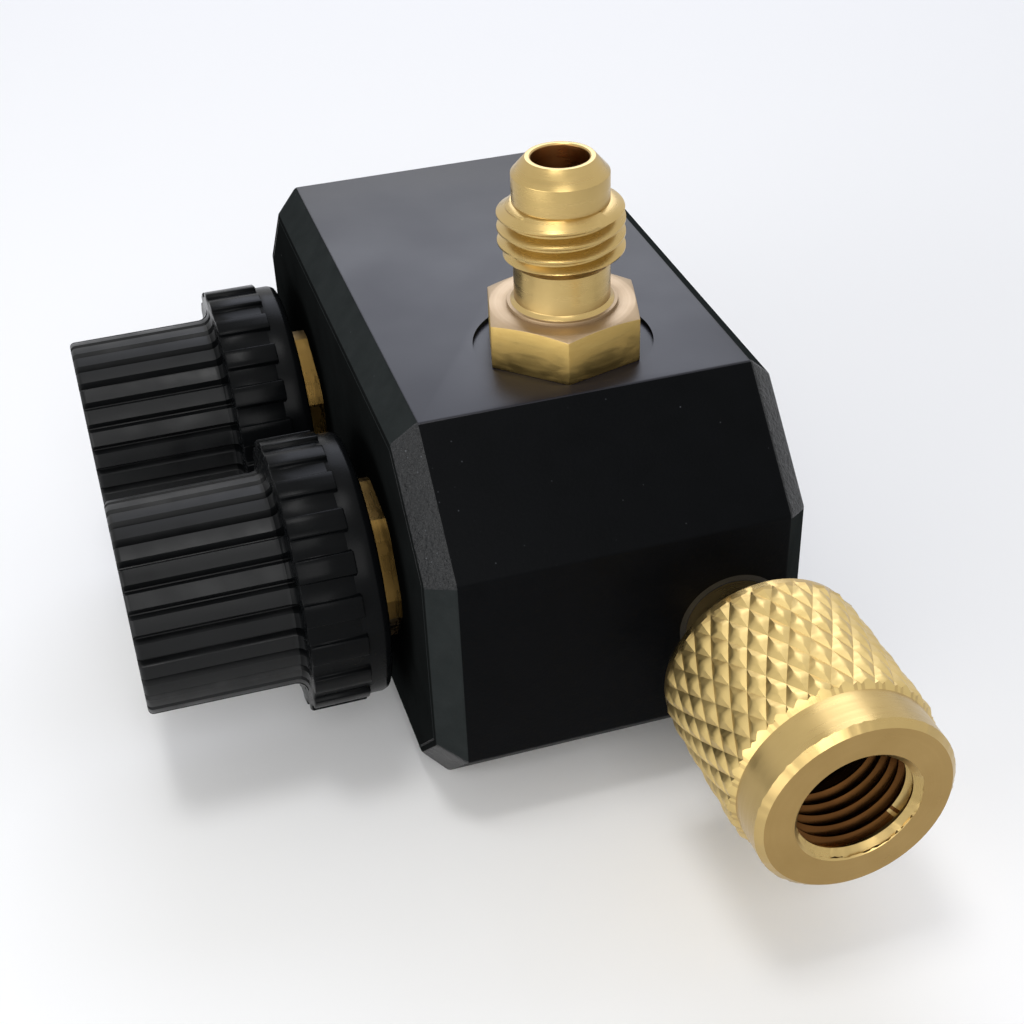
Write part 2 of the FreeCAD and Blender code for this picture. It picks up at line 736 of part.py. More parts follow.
def knob_screw(name, place):
    body = new_body(name)
    top = head_seat + screw_head_height
    turn_shape(body, "Revolution", name + "_turned", [
        (0, head_seat - screw_length), (screw_radius, head_seat - screw_length), (screw_radius, head_seat),
        (screw_head_radius, head_seat), (screw_head_radius, top), (0, top),
    ])
    prism(body, "Subtractive", name + "_socket", 6, screw_socket, top - screw_socket_depth,
          screw_socket_depth + entry)
    return seat_body(body, place, "-X")


def knob_cap(name, place):
    body = new_body(name)
    turn_shape(body, "Revolution", name + "_turned", [
        (0, cap_seat), (cap_radius, cap_seat), (cap_radius, cap_top - cap_recess),
        (cap_radius - cap_recess, cap_top), (0, cap_top),
    ])
    return seat_body(body, place, "-X")


def valve(side, y, hex_turn):
    # Everything that goes into one valve chamber, from the sealing ring out to the knob's cap.
    place = (-block_width / 2, y, valve_height)
    bonnet(side + "_bonnet", place, hex_turn)
    hexagon_seal(side + "_bonnet_seal", place, "-X", bonnet_neck, -seal_pocket_depth)
    stem(side + "_stem", place)
    radii = (stem_seal_groove + ring_gap, stem_bore - ring_gap)
    for step, where in enumerate(("inner", "outer")):
        low = stem_seal_low + step * stem_seal_pitch
        ends = (low + ring_gap, low + stem_seal_width - ring_gap)
        square_ring("%s_stem_%s_seal" % (side, where), place, "-X", radii, ends)
    seat_holder(side + "_seat_holder", place)
    seat_disc(side + "_seat_disc", place)
    knob(side + "_knob", place)
    knob_bush(side + "_knob_bush", place)
    knob_washer(side + "_knob_washer", place)
    knob_screw(side + "_knob_screw", place)
    knob_cap(side + "_knob_cap", place)


def coupling():
    place = (line_x, -block_length / 2, line_height)
    coupling_tail(place)
    hexagon_seal("coupling_tail_seal", place, "-Y", tail_neck, -seal_pocket_depth)
    coupling_gasket(place)
    core_depressor(place)
    square_ring("coupling_clip", place, "-Y", (clip_inner, clip_outer), (clip_low, clip_high))
    coupling_nut(place)


def flare_ports():
    top = (chamber_port_x, front_valve_y, block_height)
    rear = (chamber_port_x, block_length / 2, valve_height)
    for name, place, direction in (("top_flare", top, "+Z"), ("rear_flare", rear, "+Y")):
        flare_fitting(name + "_fitting", place, direction, flare_hex_angle.value)
        hexagon_seal(name + "_seal", place, direction, port_neck, -spotface_depth - seal_pocket_depth)


def check_document():
    for item in doc.Objects:
        wrong = [word for word in item.State if word in ("Invalid", "Error")]
        if wrong:
            raise RuntimeError("%s is %s" % (item.Name, wrong))
    for part in parts:
        if part.Shape.isNull() or not part.Shape.isValid():
            raise RuntimeError(part.Label + " has no valid shape")


valve_block()
valve("front", front_valve_y, front_hex_turn)
valve("rear", rear_valve_y, rear_hex_turn)
flare_ports()
coupling()
doc.recompute()
check_document()

os.makedirs("parts", exist_ok=True)
for part in parts:
    part.Shape.exportStep("parts/%s.step" % part.Label)
    print(part.Label, len(part.Shape.Solids), "solid", round(part.Shape.Volume, 2), "mm3")
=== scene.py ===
import json
import math
import random

import bmesh
import bpy
from mathutils import Matrix, Vector


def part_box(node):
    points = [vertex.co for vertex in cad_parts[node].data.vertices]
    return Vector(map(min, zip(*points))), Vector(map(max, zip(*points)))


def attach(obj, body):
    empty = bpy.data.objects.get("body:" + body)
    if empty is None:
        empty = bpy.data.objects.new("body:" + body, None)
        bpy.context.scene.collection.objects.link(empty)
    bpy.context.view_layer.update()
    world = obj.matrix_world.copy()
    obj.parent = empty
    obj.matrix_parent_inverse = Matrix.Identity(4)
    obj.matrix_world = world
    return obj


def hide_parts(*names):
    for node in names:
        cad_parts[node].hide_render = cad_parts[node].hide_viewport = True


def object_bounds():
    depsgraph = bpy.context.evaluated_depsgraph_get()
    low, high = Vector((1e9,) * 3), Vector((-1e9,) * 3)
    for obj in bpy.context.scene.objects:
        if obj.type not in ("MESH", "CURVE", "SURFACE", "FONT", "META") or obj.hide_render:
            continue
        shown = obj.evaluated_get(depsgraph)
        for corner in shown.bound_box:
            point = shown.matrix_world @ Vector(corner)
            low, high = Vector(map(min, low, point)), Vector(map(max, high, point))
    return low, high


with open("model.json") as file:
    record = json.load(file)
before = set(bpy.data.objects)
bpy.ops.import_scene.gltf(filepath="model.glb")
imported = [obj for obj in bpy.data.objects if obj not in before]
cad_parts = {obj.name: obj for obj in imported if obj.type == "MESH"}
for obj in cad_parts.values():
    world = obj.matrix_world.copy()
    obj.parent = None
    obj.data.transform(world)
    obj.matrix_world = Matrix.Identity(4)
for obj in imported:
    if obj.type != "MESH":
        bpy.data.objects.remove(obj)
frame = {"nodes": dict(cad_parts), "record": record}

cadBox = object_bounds()
mm = 0.001
tiny = 0.001  # mm, closer than this two points are one
print("frame loaded")


def cadCorners(node):
    return [Vector(corner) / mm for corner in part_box(node)]


# Camera: the place and angles that put the block's edges, the flare and the knobs where the photograph has them.
cameraSettings = {
    "place": (-41.045, -142.736, 111.390),  # mm
    "azimuth": -16.757,  # degrees
    "elevation": 37.446,
    "roll": -1.847,
    "focal": 1684.19,  # pixels of the photograph's frame
    "centre": (530.96, 593.62),  # the point that the lens looks straight at, in pixels
    "frameSize": 1024,
    "sensor": 36.0,
}


def addCamera(s):
    data = bpy.data.cameras.new("camera")
    data.sensor_width = s["sensor"]
    data.lens = s["focal"] * s["sensor"] / s["frameSize"]
    data.shift_x = 0.5 - s["centre"][0] / s["frameSize"]
    data.shift_y = s["centre"][1] / s["frameSize"] - 0.5
    data.clip_start = 0.01
    camera = bpy.data.objects.new("camera", data)
    bpy.context.scene.collection.objects.link(camera)
    turn = Matrix.Rotation(math.radians(s["azimuth"]), 4, "Z")
    tilt = Matrix.Rotation(math.radians(90 - s["elevation"]), 4, "X")
    roll = Matrix.Rotation(math.radians(s["roll"]), 4, "Z")
    camera.matrix_world = Matrix.Translation(Vector(s["place"]) * mm) @ turn @ tilt @ roll
    bpy.context.scene.camera = camera


addCamera(cameraSettings)


# Materials

def linear(hexColour):
    values = []
    for start in (1, 3, 5):
        value = int(hexColour[start:start + 2], 16) / 255
        values.append(value / 12.92 if value <= 0.04045 else ((value + 0.055) / 1.055) ** 2.4)
    return (*values, 1.0)


def addNode(tree, kind, settings=None, values=None, links=None):
    node = tree.nodes.new("ShaderNode" + kind)
    for name, value in (settings or {}).items():
        setattr(node, name, value)
    for socket, value in (values or {}).items():
        node.inputs[socket].default_value = value
    for socket, source in (links or {}).items():
        tree.links.new(source, node.inputs[socket])
    return node


def newMaterial(name, values):
    material = bpy.data.materials.new(name)
    material.use_nodes = True
    tree = material.node_tree
    shader = tree.nodes["Principled BSDF"]
    for socket, value in values.items():
        shader.inputs[socket].default_value = value
    return material, tree, shader


def anodisedAluminium(name, s):
    # Aluminium under a dyed black oxide film: the dye drinks most of the light, and what is left is a cool satin sheen.
    material, tree, shader = newMaterial(name, {"IOR": 1.45, "Specular IOR Level": s["sheen"]})
    place = addNode(tree, "TexCoord").outputs["Object"]
    clouds = addNode(tree, "TexNoise", None, {"Scale": 1 / (s["cloud"] * mm), "Detail": 3.0}, {"Vector": place})
    grit = addNode(tree, "TexNoise", None, {"Scale": 1 / (s["grit"] * mm), "Detail": 3.0, "Roughness": 0.65},
                   {"Vector": place})
    dye = addNode(tree, "MixRGB", None, {"Color1": linear(s["dark"]), "Color2": linear(s["light"])},
                  {"Fac": clouds.outputs["Fac"]})
    # Painted glints: a few grains of the film get a bright grey in its colour, as specks of painted highlight.
    grains = addNode(tree, "TexVoronoi", None, {"Scale": 1 / (s["paintedGlintSpacing"] * mm)}, {"Vector": place})
    tip = addNode(tree, "MapRange", None, {"From Min": s["paintedGlintSize"], "From Max": s["paintedGlintSize"] * 0.4,
                                           "To Min": 0.0, "To Max": 1.0}, {"Value": grains.outputs["Distance"]})
    chosen = addNode(tree, "MapRange", None, {"From Min": 0.75, "From Max": 1.0, "To Min": 0.0, "To Max": s["paintedGlint"]},
                     {"Value": grains.outputs["Color"]})
    shown = addNode(tree, "Math", {"operation": "MULTIPLY"}, None,
                    {0: tip.outputs["Result"], 1: chosen.outputs["Result"]})
    colour = addNode(tree, "MixRGB", None, {"Color2": linear(s["paintedGlintColour"])},
                     {"Color1": dye.outputs["Color"], "Fac": shown.outputs["Value"]})
    tree.links.new(colour.outputs["Color"], shader.inputs["Base Color"])
    rough = addNode(tree, "MapRange", None, {"From Min": 0.3, "From Max": 0.7, "To Min": s["roughness"] * 0.9,
                                             "To Max": s["roughness"] * 1.1}, {"Value": clouds.outputs["Fac"]})
    tree.links.new(rough.outputs["Result"], shader.inputs["Roughness"])
    bump = addNode(tree, "Bump", None, {"Strength": s["bump"], "Distance": s["bumpDepth"] * mm},
                   {"Height": grit.outputs["Fac"]})
    tree.links.new(bump.outputs["Normal"], shader.inputs["Normal"])
    return material


smoothFilm = anodisedAluminium("blackAnodisedAluminium", {
    "sheen": 0.3, "roughness": 0.36, "dark": "#09090f", "light": "#0f0f1b", "cloud": 9.0, "grit": 0.28,
    "paintedGlintSpacing": 2.2, "paintedGlintSize": 0.06, "paintedGlint": 0.4, "paintedGlintColour": "#b4b4bc", "bump": 0.2, "bumpDepth": 0.014,
})
blastedFilm = anodisedAluminium("blastedBlackAnodisedAluminium", {
    "sheen": 0.04, "roughness": 0.45, "dark": "#050607", "light": "#090a0c", "cloud": 3.0, "grit": 0.34,
    "paintedGlintSpacing": 0.7, "paintedGlintSize": 0.12, "paintedGlint": 0.22, "paintedGlintColour": "#8a8e94", "bump": 0.55, "bumpDepth": 0.05,
})
# The bevels' chamfers are milled before the film, so they are coarser, catch more light and carry more painted glints.
chamferFilm = anodisedAluminium("milledBlackAnodisedAluminium", {
    "sheen": 0.33, "roughness": 0.4, "dark": "#090a0b", "light": "#131517", "cloud": 1.2, "grit": 0.45,
    "paintedGlintSpacing": 0.45, "paintedGlintSize": 0.22, "paintedGlint": 0.5, "paintedGlintColour": "#9aa0a6", "bump": 1.0, "bumpDepth": 0.3,
})
# The long faces keep the sawn bar's dull skin under the film; the chamfers' matt grey is painted sheen.
sawnFilm = anodisedAluminium("sawnBlackAnodisedAluminium", {
    "sheen": 0.0, "roughness": 0.6, "dark": "#0d0e0e", "light": "#161818", "cloud": 4.0, "grit": 0.34,
    "paintedGlintSpacing": 1.6, "paintedGlintSize": 0.08, "paintedGlint": 0.8, "paintedGlintColour": "#c0c2c4", "bump": 0.4, "bumpDepth": 0.04,
})
paintedSheenFilm = anodisedAluminium("paintedSheenBlackAnodisedAluminium", {
    "sheen": 0.0, "roughness": 0.6, "dark": "#1f2222", "light": "#2a2d2d", "cloud": 2.0, "grit": 0.3,
    "paintedGlintSpacing": 0.8, "paintedGlintSize": 0.12, "paintedGlint": 0.25, "paintedGlintColour": "#8a8e94", "bump": 0.7, "bumpDepth": 0.08,
})


def turnedBrass(name, centre, axis, s):
    # Free-cutting brass off the lathe: pale yellow metal with fine tool rings about the turning axis.
    material, tree, shader = newMaterial(name, {"Metallic": 1.0})
    place = addNode(tree, "TexCoord").outputs["Object"]
    across = Vector((1, 1, 1)) - Vector([abs(part) for part in axis])
    flat = addNode(tree, "Mapping", None, {"Location": -Vector(centre) * mm * across, "Scale": across},
                   {"Vector": place})
    radius = addNode(tree, "VectorMath", {"operation": "LENGTH"}, None, {0: flat.outputs["Vector"]})
    along = addNode(tree, "VectorMath", {"operation": "DOT_PRODUCT"}, {1: axis}, {0: place})
    rings = addNode(tree, "CombineXYZ", None, None, {"X": radius.outputs["Value"], "Y": along.outputs["Value"]})
    fields = {}
    for field, vector in (("toolMark", rings.outputs["Vector"]), ("band", rings.outputs["Vector"]),
                          ("cloud", place), ("handling", place)):
        fields[field] = addNode(tree, "TexNoise", None, {"Scale": 1 / (s[field] * mm), "Detail": 3.0},
                                {"Vector": vector}).outputs["Fac"]
    colour = addNode(tree, "MixRGB", None, {"Color1": linear(s["dark"]), "Color2": linear(s["light"])},
                     {"Fac": fields["cloud"]})
    tree.links.new(colour.outputs["Color"], shader.inputs["Base Color"])
    mixed = addNode(tree, "Math", {"operation": "ADD"}, None, {0: fields["band"], 1: fields["cloud"]})
    rough = addNode(tree, "MapRange", None, {"From Min": 0.7, "From Max": 1.3, "To Min": s["roughness"] * 0.75,
                                             "To Max": s["roughness"] * 1.35}, {"Value": mixed.outputs["Value"]})
    tree.links.new(rough.outputs["Result"], shader.inputs["Roughness"])
    bump = addNode(tree, "Bump", None, {"Strength": s["bump"], "Distance": s["bumpDepth"] * mm},
                   {"Height": fields["toolMark"]})
    worn = addNode(tree, "Bump", None, {"Strength": s["wear"], "Distance": 0.02 * mm},
                   {"Height": fields["handling"], "Normal": bump.outputs["Normal"]})
    tree.links.new(worn.outputs["Normal"], shader.inputs["Normal"])
    return material


brassSettings = {
    "roughness": 0.28, "dark": "#ad945c", "light": "#c6ab74", "cloud": 5.0, "toolMark": 0.12, "band": 0.5,
    "bump": 0.25, "bumpDepth": 0.01, "wear": 0.15, "handling": 0.6,
}
# The faced ends are duller, and their darker copy of the brass is painted shade.
faceSettings = dict(brassSettings, dark="#927644", light="#ac905c", roughness=0.36, bump=0.5)  # faced ends, duller
topSettings = dict(brassSettings, dark="#9a866a", light="#ac977c", roughness=0.48, bump=0.5)  # a faced, washed top
# The knurl's brass is lighter than the rest: painted light on its facets.
knurlSettings = dict(brassSettings, dark="#bfa466", light="#d8c084", roughness=0.38)  # rolled, so satin
milledSettings = dict(brassSettings, dark="#a88e52", light="#c2a668", roughness=0.5, bump=0.5)  # drawn hexagon bar
boreSettings = dict(brassSettings, dark="#452a16", light="#704c26", roughness=0.25)  # painted shade in the bores
passageSettings = dict(brassSettings, dark="#8c6436", light="#b48858")  # the flare's clean reamed passage
paintedShadeSettings = dict(brassSettings, dark="#6a5128", light="#80683a")  # the bonnets: painted shade between knob and block


def mouldedPlastic(name, s):
    # Black glass-filled nylon from a polished mould: deep black, glossy, with a faint orange peel.
    material, tree, shader = newMaterial(name, {"IOR": 1.53, "Specular IOR Level": s["sheen"]})
    place = addNode(tree, "TexCoord").outputs["Object"]
    clouds = addNode(tree, "TexNoise", None, {"Scale": 1 / (s["cloud"] * mm), "Detail": 3.0}, {"Vector": place})
    peel = addNode(tree, "TexNoise", None, {"Scale": 1 / (s["peel"] * mm)}, {"Vector": place})
    colour = addNode(tree, "MixRGB", None, {"Color1": linear(s["dark"]), "Color2": linear(s["light"])},
                     {"Fac": clouds.outputs["Fac"]})
    tree.links.new(colour.outputs["Color"], shader.inputs["Base Color"])
    rough = addNode(tree, "MapRange", None, {"From Min": 0.3, "From Max": 0.7, "To Min": s["roughness"] * 0.8,
                                             "To Max": s["roughness"] * 1.3}, {"Value": clouds.outputs["Fac"]})
    tree.links.new(rough.outputs["Result"], shader.inputs["Roughness"])
    bump = addNode(tree, "Bump", None, {"Strength": s["bump"], "Distance": 0.02 * mm}, {"Height": peel.outputs["Fac"]})
    tree.links.new(bump.outputs["Normal"], shader.inputs["Normal"])
    return material


knobPlastic = mouldedPlastic("blackMouldedNylon", {
    "sheen": 0.05, "roughness": 0.26, "dark": "#060708", "light": "#0b0c0d", "cloud": 4.0, "peel": 0.7, "bump": 0.2,
})
# The gripped part of the knob is rubbed by hands, so its lands shine more.
gripPlastic = mouldedPlastic("rubbedBlackMouldedNylon", {
    "sheen": 0.17, "roughness": 0.4, "dark": "#08090a", "light": "#0e0f10", "cloud": 4.0, "peel": 0.7, "bump": 0.2,
})


def plainStuff(name, s):
    # Stuff that sits inside: turned stainless steel, white fluoropolymer or black nitrile rubber.
    material, tree, shader = newMaterial(name, {"Metallic": s["metallic"], "Roughness": s["roughness"],
                                                "IOR": s.get("ior", 1.5)})
    place = addNode(tree, "TexCoord").outputs["Object"]
    clouds = addNode(tree, "TexNoise", None, {"Scale": 1 / (s["cloud"] * mm), "Detail": 3.0}, {"Vector": place})
    colour = addNode(tree, "MixRGB", None, {"Color1": linear(s["dark"]), "Color2": linear(s["light"])},
                     {"Fac": clouds.outputs["Fac"]})
    tree.links.new(colour.outputs["Color"], shader.inputs["Base Color"])
    bump = addNode(tree, "Bump", None, {"Strength": 0.3, "Distance": s["bumpDepth"] * mm},
                   {"Height": clouds.outputs["Fac"]})
    tree.links.new(bump.outputs["Normal"], shader.inputs["Normal"])
    return material


slotMaterials = {
    "stainless_steel": plainStuff("turnedStainlessSteel", {
        "metallic": 1.0, "roughness": 0.28, "dark": "#9c9a96", "light": "#b4b2ae", "cloud": 0.3, "bumpDepth": 0.01}),
    "white_fluoropolymer": plainStuff("sinteredFluoropolymer", {
        "metallic": 0.0, "roughness": 0.5, "ior": 1.38, "dark": "#dcdad2", "light": "#eceae4", "cloud": 0.8,
        "bumpDepth": 0.02}),
    "black_rubber": plainStuff("mouldedNitrileRubber", {
        "metallic": 0.0, "roughness": 0.6, "dark": "#141414", "light": "#1e1e1e", "cloud": 0.5, "bumpDepth": 0.03}),
    "black_moulded_plastic": knobPlastic,
    "black_anodised_aluminium": smoothFilm,
}
print("materials made")


# Making pieces. Each is modelled in millimetres about its own axis, up along Z, then set in place.

def spinProfile(bm, points, steps):
    # A closed profile of (radius, height) points goes right round the axis.
    corners = [bm.verts.new((radius, 0, height)) for radius, height in points]
    edges = [bm.edges.new((corners[i - 1], corners[i])) for i in range(len(corners))]
    bmesh.ops.spin(bm, geom=corners + edges, cent=(0, 0, 0), axis=(0, 0, 1), dvec=(0, 0, 0),
                   angle=2 * math.pi, steps=steps, use_merge=True, use_duplicate=False)
    bmesh.ops.remove_doubles(bm, verts=bm.verts, dist=tiny)
    bmesh.ops.recalc_face_normals(bm, faces=bm.faces)


def roundEdges(bm, edges, offset, segments=2):
    bmesh.ops.bevel(bm, geom=edges, offset=offset, offset_type="OFFSET", segments=segments, profile=0.5,
                    affect="EDGES", clamp_overlap=True, material=-1)


def sharpEdges(bm, degrees):
    limit = math.radians(degrees)
    return [edge for edge in bm.edges if edge.is_manifold and edge.calc_face_angle() > limit]


def turned(points, steps=96, soften=0.08):
    bm = bmesh.new()
    spinProfile(bm, points, steps)
    if soften:
        roundEdges(bm, sharpEdges(bm, 20), soften)
    return bm


def toMesh(bm, name):
    mesh = bpy.data.meshes.new(name)
    bm.to_mesh(mesh)
    bm.free()
    return mesh


def combine(bm, other, operation):
    # The boolean of two closed meshes, as a new mesh in bm.
    parts = []
    for source in (bm, other):
        part = bpy.data.objects.new("part", toMesh(source, "part"))
        bpy.context.scene.collection.objects.link(part)
        parts.append(part)
    modifier = parts[0].modifiers.new("combine", "BOOLEAN")
    modifier.operation = operation
    modifier.solver = "EXACT"
    modifier.object = parts[1]
    bpy.context.view_layer.update()
    result = bpy.data.meshes.new_from_object(parts[0].evaluated_get(bpy.context.evaluated_depsgraph_get()))
    new = bmesh.new()
    new.from_mesh(result)
    bpy.data.meshes.remove(result)
    for part in parts:
        mesh = part.data
        bpy.data.objects.remove(part)
        bpy.data.meshes.remove(mesh)
    return new


def joined(parts):
    bm = bmesh.new()
    for part in parts:
        mesh = toMesh(part, "part")
        bm.from_mesh(mesh)
        bpy.data.meshes.remove(mesh)
    return bm


def seat(bm, centre=(0, 0, 0), direction=(0, 0, 1)):
    turn = Vector((0, 0, 1)).rotation_difference(Vector(direction)).to_matrix().to_4x4()
    bmesh.ops.transform(bm, matrix=Matrix.Translation(centre) @ turn, verts=bm.verts)


def finish(bm, name, body, materials, nodes, smooth=35):
    bmesh.ops.transform(bm, matrix=Matrix.Scale(mm, 4), verts=bm.verts)
    limit = math.radians(smooth)
    for face in bm.faces:
        face.smooth = True
    for edge in bm.edges:
        edge.smooth = edge.is_manifold and edge.calc_face_angle() < limit
    piece = bpy.data.objects.new(name, toMesh(bm, name))
    bpy.context.scene.collection.objects.link(piece)
    for material in materials:
        piece.data.materials.append(material)
    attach(piece, body)
    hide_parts(*nodes)
    print(name, len(piece.data.polygons))
    return piece


# The valve block: a sawn bar with bevelled ends, chamfered long edges and a port in each working face.
blockSettings = {
    "topBevel": 10.0,
    "footBevel": 8.0,
    "chamfer": 2.3,
    "edgeRound": 0.22,
    "lineInset": 0.25,
    "lineWidth": 0.2,
    "lineDepth": 0.12,
    "portBore": 4.95,
    "portDepth": 9.4,
    "spotface": 8.1,
    "spotfaceDepth": 0.4,
    "bonnetBore": 6.0,
    "bonnetBoreDepth": 11.0,
    "chamberBore": 4.7,
    "chamberDepth": 22.6,
    "steps": 96,
}
valves = {"front": (-15.9, 18.2), "rear": (15.1, 18.2)}  # Y and Z of each valve's axis, mm
portX = 0.9
couplingAxis = (9.9, 17.6)  # X and Z, mm


def blockCutters(s, low, high):
    cutters = []
    over = 1.0
    port = [(0, -s["portDepth"]), (s["portBore"], -s["portDepth"]), (s["portBore"], -s["spotfaceDepth"]),
            (s["spotface"], -s["spotfaceDepth"]), (s["spotface"], over), (0, over)]
    tail = [(0, -s["portDepth"]), (s["portBore"], -s["portDepth"]), (s["portBore"], over), (0, over)]
    chamber = [(0, -s["chamberDepth"]), (s["chamberBore"], -s["chamberDepth"]),
               (s["chamberBore"], -s["bonnetBoreDepth"]), (s["bonnetBore"], -s["bonnetBoreDepth"]),
               (s["bonnetBore"], over), (0, over)]
    places = [(port, (portX, valves["front"][0], high.z), (0, 0, 1)),
              (port, (portX, high.y, valves["rear"][1]), (0, 1, 0)),
              (tail, (couplingAxis[0], low.y, couplingAxis[1]), (0, -1, 0))]
    places += [(chamber, (low.x, y, z), (-1, 0, 0)) for y, z in valves.values()]
    for points, centre, direction in places:
        bm = turned(points, s["steps"], 0)
        seat(bm, centre, direction)
        cutters.append(bm)
    return joined(cutters)


def makeBlock(s):
    low, high = cadCorners("valve_block")
    bm = bmesh.new()
    size = Matrix.Diagonal((*(high - low), 1))
    bmesh.ops.create_cube(bm, size=1, matrix=Matrix.Translation((low + high) / 2) @ size)
    for height, bevel in ((high.z, s["topBevel"]), (low.z, s["footBevel"])):
        ends = [edge for edge in bm.edges if all(abs(v.co.z - height) < tiny for v in edge.verts)
                and abs(edge.verts[0].co.y - edge.verts[1].co.y) < tiny]
        roundEdges(bm, ends, bevel, 1)
    for x in (low.x, high.x):
        rim = [edge for edge in bm.edges if all(abs(v.co.x - x) < tiny for v in edge.verts)]
        roundEdges(bm, rim, s["chamfer"], 1)
    roundEdges(bm, sharpEdges(bm, 10), s["edgeRound"], 3)
    # A scribed double line runs just inside the chamfer on the knobs' face.
    face = min(bm.faces, key=lambda f: f.calc_center_median().x - f.calc_area() * tiny)
    bmesh.ops.inset_region(bm, faces=[face], thickness=s["lineInset"], depth=0)
    for depth in (-s["lineDepth"], s["lineDepth"]):
        bmesh.ops.inset_region(bm, faces=[face], thickness=s["lineWidth"] / 2, depth=depth)
    bm = combine(bm, blockCutters(s, low, high), "DIFFERENCE")
    for face in bm.faces:
        normal = face.normal
        across = abs(normal.x)
        if across > 0.9:
            face.material_index = 3
        elif across > 0.3:
            # Bevel chamfers get the milled film, and the other chamfers get the grey film, whose colour is painted
            # sheen.
            face.material_index = 2 if min(abs(normal.y), abs(normal.z)) > 0.1 else 4
        else:
            face.material_index = 0 if abs(normal.z) > 0.9 else 1
    skins = [smoothFilm, blastedFilm, chamferFilm, sawnFilm, paintedSheenFilm]
    return finish(bm, "block", "block", skins, ["valve_block"], 30)


makeBlock(blockSettings)


# Threads: one pitch of the profile, spun up the axis, cut level at both ends and topped by a chamfer.
def thread(s):
    # A closed threaded sleeve. The crests are at crest, the roots at root; a crest inside the root is a nut's thread.
    pitch = s["pitch"]
    inside = s["crest"] < s["root"]
    flat = pitch / 8
    bm = bmesh.new()
    outline = [(s["root"], 0), (s["root"], flat), (s["crest"], pitch / 2), (s["crest"], pitch / 2 + flat),
               (s["root"], pitch)]
    corners = [bm.verts.new((radius, 0, height)) for radius, height in outline]
    edges = [bm.edges.new(pair) for pair in zip(corners, corners[1:])]
    turns = math.ceil((s["high"] - s["low"]) / pitch) + 2
    steps = s["steps"]
    bmesh.ops.spin(bm, geom=corners + edges, cent=(0, 0, 0), axis=(0, 0, 1), dvec=(0, 0, pitch / steps),
                   angle=2 * math.pi * turns, steps=steps * turns, use_merge=False, use_duplicate=False)
    bmesh.ops.translate(bm, verts=bm.verts, vec=(0, 0, s["low"] - 1.5 * pitch + s["start"]))
    bmesh.ops.remove_doubles(bm, verts=bm.verts, dist=pitch / steps / 3)
    for height, normal in ((s["low"], (0, 0, -1)), (s["high"], (0, 0, 1))):
        bmesh.ops.bisect_plane(bm, geom=bm.verts[:] + bm.edges[:] + bm.faces[:], dist=tiny,
                               plane_co=(0, 0, height), plane_no=normal, clear_outer=True)
    for vert in bm.verts:
        radius = math.hypot(vert.co.x, vert.co.y)
        over = max((s["low"] + s["lowLead"] - vert.co.z) * s["lowSlope"],
                   (vert.co.z - s["high"] + s["highLead"]) * s["highSlope"], 0)
        limit = s["crest"] + over if inside else s["crest"] - over
        wanted = max(radius, limit) if inside else min(radius, limit)
        vert.co.x *= wanted / radius
        vert.co.y *= wanted / radius
    for height in (s["low"], s["high"]):
        rim = [edge for edge in bm.edges if edge.is_boundary and all(abs(v.co.z - height) < tiny * 5 for v in edge.verts)]
        ring = bmesh.ops.create_circle(bm, cap_ends=False, radius=s["wall"], segments=steps,
                                       matrix=Matrix.Translation((0, 0, height)))["verts"]
        inner = {edge for vert in ring for edge in vert.link_edges}
        bmesh.ops.bridge_loops(bm, edges=rim + list(inner))
    walls = [edge for edge in bm.edges if edge.is_boundary]
    bmesh.ops.bridge_loops(bm, edges=walls)
    bmesh.ops.recalc_face_normals(bm, faces=bm.faces)
    return bm


# Hexagons: a six-sided bar whose corners are lightly turned off.
def hexagon(flats, low, high, hole, chamferLow, chamferHigh, angle=0.0, soften=0.07, steps=96):
    corner = flats / math.sqrt(3)
    bm = bmesh.new()
    bmesh.ops.create_cone(bm, cap_ends=True, segments=6, radius1=corner, radius2=corner, depth=high - low,
                          matrix=Matrix.Rotation(math.radians(angle - 90), 4, "Z")  # the first corner starts on +Y
                          @ Matrix.Translation((0, 0, (low + high) / 2)))
    edge = flats / 2 * 0.985
    outer = corner + 0.5
    slope = (outer - edge) * math.tan(math.radians(14))
    points = [(hole, low), (edge if chamferLow else outer, low), (outer, low + (slope if chamferLow else 0)),
              (outer, high - (slope if chamferHigh else 0)), (edge if chamferHigh else outer, high), (hole, high)]
    kept = [point for i, point in enumerate(points) if point not in points[:i]]
    bm = combine(bm, turned(kept, steps, 0), "INTERSECT")
    bmesh.ops.remove_doubles(bm, verts=bm.verts, dist=tiny)
    bmesh.ops.dissolve_limit(bm, angle_limit=math.radians(0.5), verts=bm.verts, edges=bm.edges)
    roundEdges(bm, sharpEdges(bm, 12), soften)
    return bm


# The male flare fitting: hexagon, foot ring, neck, 7/16-20 thread and a 45 degree nose.
flareSettings = {
    "flats": 13.0, "hexHeight": 4.3, "hexAngle": 15.5, "foot": 4.9, "footHeight": 0.3, "neck": 4.25,
    "threadLow": 8.0, "threadHigh": 13.45, "threadCrest": 5.55, "threadRoot": 4.78, "pitch": 1.27, "fillet": 0.35,
    "threadStart": -0.06,
    "nose": 4.23, "coneLow": 15.9, "tip": 17.3, "tipRadius": 3.0, "bore": 2.5, "shank": 4.85, "shankLow": -8.6,
    "sunk": 0.4, "steps": 96,
}


